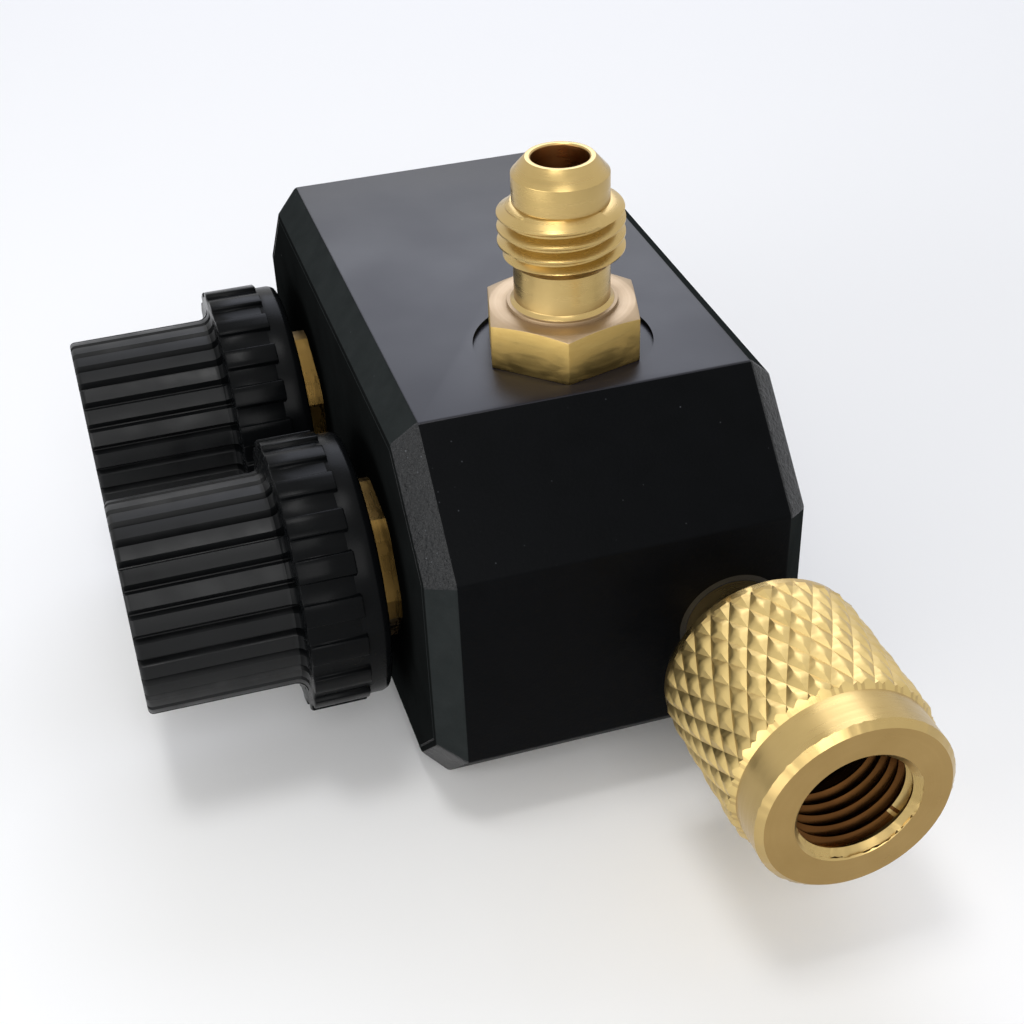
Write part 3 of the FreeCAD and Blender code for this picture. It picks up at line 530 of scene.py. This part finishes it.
def makeFlare(name, s, centre, direction, skins, nodes):
    base = -s["sunk"]
    boreLip = 0.12
    hexTop = base + s["hexHeight"]
    footTop = hexTop + s["footHeight"]
    body = turned([
        (s["bore"], s["shankLow"]), (s["shank"], s["shankLow"]), (s["shank"], hexTop - 0.2), (s["foot"], hexTop - 0.2),
        (s["foot"], footTop), (s["neck"] + s["fillet"], footTop), (s["neck"], footTop + s["fillet"]),
        (s["neck"], s["threadLow"] + 0.5), (s["nose"], s["threadHigh"] - 0.5), (s["nose"], s["coneLow"]),
        (s["tipRadius"], s["tip"]), (s["bore"] + boreLip, s["tip"]), (s["bore"], s["tip"] - boreLip),
    ], s["steps"], 0.06)
    for face in body.faces:
        centrePoint = face.calc_center_median()
        if math.hypot(centrePoint.x, centrePoint.y) < s["bore"] + 0.02:
            face.material_index = 1
        elif centrePoint.z < footTop + 0.05:
            face.material_index = 2
    screw = thread({"pitch": s["pitch"], "crest": s["threadCrest"], "root": s["threadRoot"],
                    "low": s["threadLow"], "high": s["threadHigh"], "lowLead": 1.1, "lowSlope": 1.1,
                    "highLead": 0.55, "highSlope": 2.2, "start": s["threadStart"],
                    "wall": s["neck"] - 0.3, "steps": s["steps"]})
    nut = hexagon(s["flats"], base, hexTop, s["shank"] - 0.3, False, True, s["hexAngle"])
    for face in nut.faces:
        face.material_index = 2 if face.normal.z > 0.4 else 3
    bm = joined([body, screw, nut])
    seat(bm, centre, direction)
    return finish(bm, name, "block", skins, nodes)


low, high = cadCorners("valve_block")
flares = {
    "topFlare": ("top_flare_fitting", (portX, valves["front"][0], high.z), (0, 0, 1)),
    "rearFlare": ("rear_flare_fitting", (portX, high.y, valves["rear"][1]), (0, 1, 0)),
}
for name, (node, centre, direction) in flares.items():
    skins = [turnedBrass(name + kind + "Brass", centre, direction, settings) for kind, settings in
             (("Turned", brassSettings), ("Reamed", passageSettings), ("Faced", topSettings),
              ("Milled", milledSettings))]
    makeFlare(name, flareSettings, centre, direction, skins, [node])


# The knobs: 28 flat lands with narrow V grooves, a collar of 20 teeth and a smooth flange.
knobSettings = {
    "end": 23.9, "endRadius": 9.9, "waistRadius": 10.0, "waistFillet": 1.0, "endRound": 0.5,
    "grooves": 28, "grooveDepth": 0.62, "grooveWidth": 0.85,
    "collarRadius": 12.8, "collarHigh": 9.4, "collarLow": 4.2, "teeth": 20, "toothGap": 9.0,
    "flangeRadius": 12.35, "flangeLow": 2.0, "flangeRound": 0.7, "cavity": 8.9,
    "capSeat": 22.4, "capRadius": 6.33,
}
firstGrooves = {"front": 6.4, "rear": 3.5}  # degrees down from the top


def closedLoop(bm, points):
    corners = [bm.verts.new(point) for point in points]
    edges = [bm.edges.new((corners[i - 1], corners[i])) for i in range(len(corners))]
    return corners, edges


def polar(radius, degrees, height):
    angle = math.radians(degrees)
    return (radius * math.cos(angle), radius * math.sin(angle), height)


def ribbedBarrel(s, firstGroove):
    step = 360 / s["grooves"]
    flank = math.degrees(s["grooveWidth"] / 2 / s["waistRadius"])
    points = []
    for count in range(s["grooves"]):
        middle = -firstGroove - count * step
        points += [(s["waistRadius"], middle + flank), (s["waistRadius"] - s["grooveDepth"], middle + flank * 0.12),
                   (s["waistRadius"] - s["grooveDepth"], middle - flank * 0.12), (s["waistRadius"], middle - flank)]
        points += [(s["waistRadius"], middle - flank - (step - 2 * flank) * share) for share in (0.25, 0.5, 0.75)]
    bm = bmesh.new()
    fillet = s["waistFillet"]
    heights = [s["collarHigh"] - 0.5]
    heights += [s["collarHigh"] + fillet * (1 - math.cos(math.radians(a))) for a in (0, 22.5, 45, 67.5, 90)]
    round_ = s["endRound"]
    heights += [s["end"] - round_ + round_ * math.sin(math.radians(a)) for a in (0, 22.5, 45, 67.5, 90)]
    closedLoop(bm, [polar(radius, angle, heights[0]) for radius, angle in points])
    for below, above in zip(heights, heights[1:]):
        ring = [edge for edge in bm.edges if all(abs(v.co.z - below) < tiny for v in edge.verts)]
        grown = bmesh.ops.extrude_edge_only(bm, edges=ring)["geom"]
        bmesh.ops.translate(bm, verts=[v for v in grown if isinstance(v, bmesh.types.BMVert)],
                            vec=(0, 0, above - below))
    top = [edge for edge in bm.edges if all(abs(v.co.z - s["end"]) < tiny for v in edge.verts)]
    rim = bmesh.ops.extrude_edge_only(bm, edges=top)["geom"]
    rimVerts = [v for v in rim if isinstance(v, bmesh.types.BMVert)]
    for vert in bm.verts:
        radius = math.hypot(vert.co.x, vert.co.y)
        taper = (vert.co.z - s["collarHigh"]) / (s["end"] - s["collarHigh"]) * (s["waistRadius"] - s["endRadius"])
        wanted = radius - taper
        fromTop = vert.co.z - (s["end"] - round_)
        if fromTop > 0:
            wanted = min(wanted, s["endRadius"] - round_ + math.sqrt(max(round_ ** 2 - fromTop ** 2, 0)))
        fromWaist = s["collarHigh"] + fillet - vert.co.z
        if 0 < fromWaist and radius > s["waistRadius"] - tiny:
            fromWaist = min(fromWaist, fillet)
            wanted += fillet - math.sqrt(fillet ** 2 - fromWaist ** 2)
        vert.co.x *= wanted / radius
        vert.co.y *= wanted / radius
    for vert in rimVerts:
        scale = s["capRadius"] / math.hypot(vert.co.x, vert.co.y)
        vert.co.x *= scale
        vert.co.y *= scale
    inner = [edge for edge in bm.edges if edge.is_boundary and all(v in rimVerts for v in edge.verts)]
    wall = bmesh.ops.extrude_edge_only(bm, edges=inner)["geom"]
    bmesh.ops.translate(bm, verts=[v for v in wall if isinstance(v, bmesh.types.BMVert)],
                        vec=(0, 0, s["capSeat"] - s["end"]))
    bmesh.ops.contextual_create(bm, geom=[e for e in bm.edges if e.is_boundary and e.verts[0].co.z > s["collarHigh"]])
    bmesh.ops.recalc_face_normals(bm, faces=bm.faces)
    return bm


def toothedCollar(s):
    step = 360 / s["teeth"]
    tooth = step - s["toothGap"]
    lean = 0.35  # degrees that each flank leans, the mould's draft
    points = []
    for count in range(s["teeth"]):
        middle = count * step
        edges = [middle - tooth / 2 + tooth * share for share in (0, 0.33, 0.67, 1)]
        points += [(s["flangeRadius"], edges[0] - lean)]
        points += [(s["collarRadius"], angle) for angle in edges]
        points += [(s["flangeRadius"], edges[-1] + lean), (s["flangeRadius"], middle + step / 2)]
    bm = bmesh.new()
    corners, edges = closedLoop(bm, [polar(radius, angle, s["collarLow"]) for radius, angle in points])
    grown = bmesh.ops.extrude_edge_only(bm, edges=edges)["geom"]
    bmesh.ops.translate(bm, verts=[v for v in grown if isinstance(v, bmesh.types.BMVert)],
                        vec=(0, 0, s["collarHigh"] - s["collarLow"]))
    for height in (s["collarLow"], s["collarHigh"]):
        rim = [edge for edge in bm.edges if edge.is_boundary and all(abs(v.co.z - height) < tiny for v in edge.verts)]
        bmesh.ops.contextual_create(bm, geom=rim)
    bmesh.ops.recalc_face_normals(bm, faces=bm.faces)
    roundEdges(bm, sharpEdges(bm, 30), 0.14)
    return bm


def makeKnob(name, s, firstGroove, centre, body, nodes):
    flange = turned([
        (s["cavity"], s["flangeLow"]), (s["flangeRadius"] - s["flangeRound"], s["flangeLow"]),
        (s["flangeRadius"] - 0.2, s["flangeLow"] + 0.2), (s["flangeRadius"], s["flangeLow"] + s["flangeRound"]),
        (s["flangeRadius"], s["collarLow"] + 0.5), (s["cavity"], s["collarLow"] + 0.5),
    ], 120, 0.12)
    barrel = ribbedBarrel(s, firstGroove)
    for face in barrel.faces:
        face.material_index = 1 if face.calc_center_median().z > s["collarHigh"] + s["waistFillet"] * 0.5 else 0
    bm = joined([barrel, toothedCollar(s), flange])
    seat(bm, centre, (-1, 0, 0))
    return finish(bm, name, body, [knobPlastic, gripPlastic], nodes, 40)


for side, (y, z) in valves.items():
    makeKnob(side + "Knob", knobSettings, firstGrooves[side], (low.x, y, z), side + "_knob", [side + "_knob"])


# The swivel nut: a bar with a diamond knurl, turned down at both ends, with the thread inside its mouth.
nutSettings = {
    "rear": 6.0, "rearRadius": 8.6, "rim": 9.0, "knurlLow": 7.5, "knurlHigh": 20.2, "knurlRadius": 9.22,
    "band": 8.65, "bandSlope": 0.8, "mouth": 25.1, "mouthRadius": 8.1, "mouthChamfer": 0.55, "mouthCone": 5.5,
    "swivelBore": 4.77, "clipLow": 10.4, "clipHigh": 11.6, "clipRoom": 5.35, "relief": 5.8, "reliefLow": 13.2,
    "threadLow": 17.8, "threadCrest": 4.95, "threadRoot": 5.62, "pitch": 1.27,
    "pyramids": 29, "pyramidHeight": 0.28, "pyramidPitch": 3.7, "pyramidStart": 1.02, "pyramidTurn": -4.35, "over": 0.6,
    "tornDepth": 0.24, "nickDepth": 0.14, "nickSeed": 4, "steps": 174,
}


def knurledBar(s):
    # Alternate points of a grid round a cylinder stand up, and each cell folds along the valley between them.
    count = s["pyramids"] * 2
    half = s["pyramidPitch"] / 2
    rows = math.ceil((s["mouth"] - s["rear"]) / half) + 3
    start = s["rear"] - 2 * half + s["pyramidStart"]
    valley = s["knurlRadius"] - s["pyramidHeight"]
    bm = bmesh.new()
    edges = closedLoop(bm, [polar(valley, 360 / count * i, start) for i in range(count)])[1]
    for _ in range(rows):
        grown = bmesh.ops.extrude_edge_only(bm, edges=edges)["geom"]
        edges = [e for e in grown if isinstance(e, bmesh.types.BMEdge)
                 and abs(e.verts[0].co.z - e.verts[1].co.z) < tiny]
        bmesh.ops.translate(bm, verts=[v for v in grown if isinstance(v, bmesh.types.BMVert)], vec=(0, 0, half))
    raised = set()
    for vert in bm.verts:
        column = round(math.degrees(math.atan2(vert.co.y, vert.co.x)) % 360 / (360 / count))
        row = round((vert.co.z - start) / half)
        plain = vert.co.z < s["knurlLow"] - half / 2
        if plain or (column + row) % 2 == 0:
            radius = s["rim"] if plain else s["knurlRadius"]
            vert.co.x *= radius / valley
            vert.co.y *= radius / valley
        if (column + row) % 2 == 0:
            raised.add(vert)
    for face in list(bm.faces):
        bmesh.utils.face_split(face, *[v for v in face.verts if v not in raised])
    # Each pyramid is rounded over its top, so its flanks are steepest beside the valleys.
    bmesh.ops.subdivide_edges(bm, edges=bm.edges[:], cuts=3, use_grid_fill=True)
    for vert in bm.verts:
        radius = math.hypot(vert.co.x, vert.co.y)
        share = min(max((radius - valley) / s["pyramidHeight"], 0), 1)
        if vert.co.z > s["knurlLow"]:
            wanted = valley + s["pyramidHeight"] * math.sin(share * math.pi / 2)
            vert.co.x *= wanted / radius
            vert.co.y *= wanted / radius
    bmesh.ops.rotate(bm, verts=bm.verts, matrix=Matrix.Rotation(math.radians(s["pyramidTurn"]), 3, "Z"))
    for side in (min, max):
        level = side(v.co.z for v in bm.verts)
        rim = [e for e in bm.edges if e.is_boundary and all(abs(v.co.z - level) < tiny for v in e.verts)]
        bmesh.ops.contextual_create(bm, geom=rim)
    bmesh.ops.recalc_face_normals(bm, faces=bm.faces)
    return bm


def makeNut(s):
    low, high = cadCorners("valve_block")
    dice = random.Random(s["nickSeed"])
    bulge = 0.12  # how far the rear shoulder's round stands out of a straight taper
    middle = ((s["rearRadius"] + s["rim"]) / 2 + bulge, s["rear"] + 0.35)
    outside = turned([
        (0, s["rear"]), (s["rearRadius"], s["rear"]), middle, (s["rim"], s["rear"] + 1.0),
        (s["knurlRadius"] + s["over"], s["knurlLow"] + s["over"]),
        (s["knurlRadius"] + s["over"], s["knurlHigh"] - s["over"]), (s["band"], s["knurlHigh"] + s["bandSlope"]),
        (s["band"], s["mouth"] - s["mouthChamfer"]), (s["mouthRadius"], s["mouth"]), (0, s["mouth"]),
    ], s["steps"], 0)
    bm = combine(knurledBar(s), outside, "INTERSECT")
    coneDepth = s["mouthCone"] - s["threadCrest"]
    inside = turned([
        (0, s["rear"] - 1), (s["swivelBore"], s["rear"] - 1), (s["swivelBore"], s["clipLow"]),
        (s["clipRoom"], s["clipLow"]), (s["clipRoom"], s["clipHigh"]), (s["swivelBore"], s["clipHigh"]),
        (s["swivelBore"], s["reliefLow"]), (s["relief"], s["reliefLow"]), (s["relief"], s["threadLow"]),
        (s["threadCrest"], s["threadLow"]), (s["threadCrest"], s["mouth"] - coneDepth), (s["mouthCone"], s["mouth"]),
        (s["mouthCone"], s["mouth"] + 1), (0, s["mouth"] + 1),
    ], s["steps"], 0)
    bm = combine(bm, inside, "DIFFERENCE")
    # The thread is cut last, and tears the crest where it runs out of the mouth.
    tap = thread({"pitch": s["pitch"], "crest": s["threadRoot"], "root": s["threadCrest"] - 0.02,
                  "low": s["threadLow"] - 0.4, "high": s["mouth"] + 0.6, "lowLead": 0.2, "lowSlope": 1.0,
                  "highLead": 0.2, "highSlope": 1.0, "start": 0,
                  "wall": s["threadCrest"] - 0.5, "steps": 96})
    for vert in tap.verts:
        radius = math.hypot(vert.co.x, vert.co.y)
        if radius > s["threadCrest"] and vert.co.z > s["mouth"] - s["pitch"]:
            scale = 1 - s["tornDepth"] * dice.random() ** 2 / radius
            vert.co.x *= scale
            vert.co.y *= scale
    bm = combine(bm, tap, "DIFFERENCE")
    bmesh.ops.remove_doubles(bm, verts=bm.verts, dist=tiny)
    # The mouth's edge is nicked here and there.
    for vert in bm.verts:
        radius = math.hypot(vert.co.x, vert.co.y)
        if abs(radius - s["band"]) < 0.02 and abs(vert.co.z - s["mouth"] + s["mouthChamfer"]) < 0.02:
            vert.co.z -= s["nickDepth"] * dice.random() ** 3
    for face in bm.faces:
        spot = face.calc_center_median()
        bore = math.hypot(spot.x, spot.y) < s["relief"] + 0.05 and spot.z < s["mouth"] - s["pitch"] * 1.4
        faced = abs(face.normal.z) > 0.9 and spot.z > s["mouth"] - 0.2
        rolled = math.hypot(spot.x, spot.y) > s["band"] and s["knurlLow"] < spot.z < s["knurlHigh"] + 0.5
        face.material_index = 2 if bore else 1 if faced else 3 if rolled else 0
    centre = (couplingAxis[0], low.y, couplingAxis[1])
    seat(bm, centre, (0, -1, 0))
    skins = [turnedBrass("nut" + name + "Brass", centre, (0, 1, 0), settings) for name, settings in
             (("Turned", brassSettings), ("Faced", faceSettings), ("Bore", boreSettings), ("Knurled", knurlSettings))]
    return finish(bm, "swivelNut", "swivel_nut", skins, ["coupling_nut"], 24)


makeNut(nutSettings)


# The tail that carries the nut: its neck goes straight into the port, and the nut's clip sits in its groove.
tailSettings = {
    "bore": 2.0, "shankLow": -8.6, "shank": 4.85, "shankTop": -1.8, "root": 4.0, "neck": 4.35, "neckTop": 5.0,
    "journal": 4.72, "clipLow": 10.45, "clipHigh": 11.55, "groove": 4.0, "front": 14.0, "seat": 13.05,
    "seatRadius": 2.95, "steps": 96,
}


def makeTail(s):
    centre = (couplingAxis[0], low.y, couplingAxis[1])
    bm = turned([
        (s["bore"], s["shankLow"]), (s["shank"], s["shankLow"]), (s["shank"], s["shankTop"]), (s["root"], s["shankTop"]),
        (s["root"], 0), (s["neck"], 0), (s["neck"], s["neckTop"]), (s["journal"], s["neckTop"]),
        (s["journal"], s["clipLow"]), (s["groove"], s["clipLow"]), (s["groove"], s["clipHigh"]),
        (s["journal"], s["clipHigh"]), (s["journal"], s["front"]), (s["seatRadius"], s["front"]),
        (s["seatRadius"], s["seat"]), (s["bore"], s["seat"]),
    ], s["steps"], 0.06)
    seat(bm, centre, (0, -1, 0))
    return finish(bm, "couplingTail", "block", [turnedBrass("tailTurnedBrass", centre, (0, 1, 0), brassSettings)],
                  ["coupling_tail"])


makeTail(tailSettings)


# CAD nodes that stay get the finish of their slot, and brass ones get tool rings about their own axis.
axisBrass = {
    "coupling": turnedBrass("couplingTurnedBrass", (couplingAxis[0], 0, couplingAxis[1]), (0, 1, 0), brassSettings),
    # The valves' brass is the darker copy: painted shade between knob and block.
    "front": turnedBrass("frontValvePaintedShadeBrass", (0, *valves["front"]), (1, 0, 0), paintedShadeSettings),
    "rear": turnedBrass("rearValvePaintedShadeBrass", (0, *valves["rear"]), (1, 0, 0), paintedShadeSettings),
}
for entry in frame["record"]["subparts"]:
    node = frame["nodes"].get(entry["node"])
    if node and entry["material_slot"] == "brass":
        line = "coupling" if entry["node"] == "core_depressor" else entry["node"].split("_")[0]
        skin = axisBrass.get(line)
    elif node:
        skin = slotMaterials[entry["material_slot"]]
    if node and skin:
        for place in node.material_slots:
            place.material = skin
print("nodes dressed")


# Light and surroundings
lightSettings = {
    "world": 0.45,
    "window": {"place": (165, 520, 460), "size": 440, "height": 440, "power": 1.7, "aim": (0, 0, 20), "tint": "#e6ecff"},
    "overhead": {"place": (-70, -40, 480), "size": 120, "height": 120, "power": 0.5, "aim": (-50, 0, 15), "tint": "#ffffff"},
    "side": {"place": (-420, -180, 130), "size": 380, "height": 230, "power": 1.1, "aim": (0, -20, 20), "tint": "#ffffff"},
    "front": {"place": (-90, -420, 330), "size": 260, "height": 260, "power": 0.75, "aim": (-50, 0, 15), "tint": "#ffffff"},
}


def addSoftbox(name, s):
    data = bpy.data.lights.new(name, "AREA")
    data.shape = "RECTANGLE"
    data.size = s["size"] * mm
    data.size_y = s["height"] * mm
    data.energy = s["power"]
    data.color = linear(s["tint"])[:3]
    lamp = bpy.data.objects.new(name, data)
    bpy.context.scene.collection.objects.link(lamp)
    lamp.location = Vector(s["place"]) * mm
    lamp.rotation_euler = (Vector(s["aim"]) - Vector(s["place"])).to_track_quat("-Z", "Y").to_euler()


for name in ("window", "overhead", "side", "front"):
    addSoftbox(name + "Softbox", lightSettings[name])

world = bpy.data.worlds.new("studio")
bpy.context.scene.world = world
world.use_nodes = True
tree = world.node_tree
rays = addNode(tree, "LightPath")
direct = addNode(tree, "Math", {"operation": "ADD"}, None,
                 {0: rays.outputs["Is Camera Ray"], 1: rays.outputs["Is Glossy Ray"]})
seen = addNode(tree, "Math", {"operation": "ADD"}, None,
               {0: direct.outputs["Value"], 1: rays.outputs["Is Transmission Ray"]})
strength = addNode(tree, "MapRange", None, {"To Min": lightSettings["world"], "To Max": 1.0},
                   {"Value": seen.outputs["Value"]})
background = tree.nodes["Background"]
background.inputs["Color"].default_value = (1, 1, 1, 1)
tree.links.new(strength.outputs["Result"], background.inputs["Strength"])

floorBm = bmesh.new()
bmesh.ops.create_grid(floorBm, x_segments=1, y_segments=1, size=3000)
bmesh.ops.translate(floorBm, verts=floorBm.verts, vec=(0, 0, cadBox[0][2] / mm - 0.02))
bmesh.ops.transform(floorBm, matrix=Matrix.Scale(mm, 4), verts=floorBm.verts)
floor = bpy.data.objects.new("floor", toMesh(floorBm, "floor"))
bpy.context.scene.collection.objects.link(floor)
floorPaint, floorTree, floorShader = newMaterial("whitePaintedBoard", {"Roughness": 0.9})
floorShader.inputs["Base Color"].default_value = linear("#f6f6f6")
floor.data.materials.append(floorPaint)
bpy.context.scene.view_settings.view_transform = "Standard"
